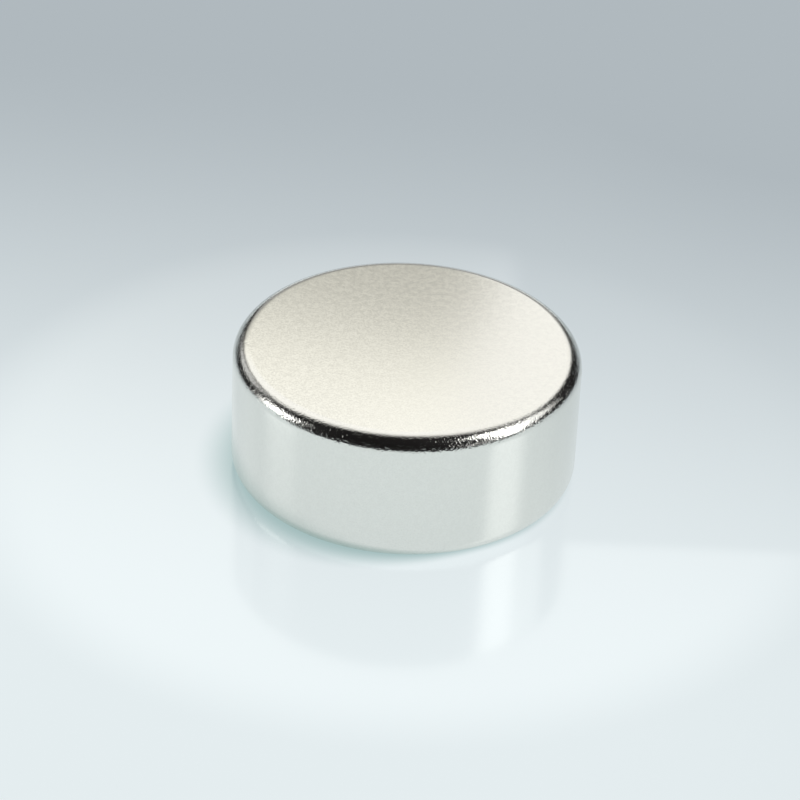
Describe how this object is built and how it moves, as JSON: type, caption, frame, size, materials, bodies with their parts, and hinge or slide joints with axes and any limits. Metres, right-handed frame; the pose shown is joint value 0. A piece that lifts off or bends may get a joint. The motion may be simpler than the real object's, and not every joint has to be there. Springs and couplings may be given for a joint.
{
  "type": "cylinder magnet",
  "caption": "Solid disc magnet with flat pole faces, a straight round side wall and rounded, polished edges.",
  "frame": {"origin": "centre of the lower pole face", "axes": "+Z along the axis of the disc and of its magnetisation, from the lower pole face to the upper one"},
  "size_m": [0.025, 0.025, 0.01],
  "materials": {
    "nickel_plate": "satin nickel plate on ground pole faces and wall, brighter and tumbled at the rounded edges"
  },
  "bodies": {
    "root": {"magnet": "nickel_plate"}
  },
  "joints": []
}
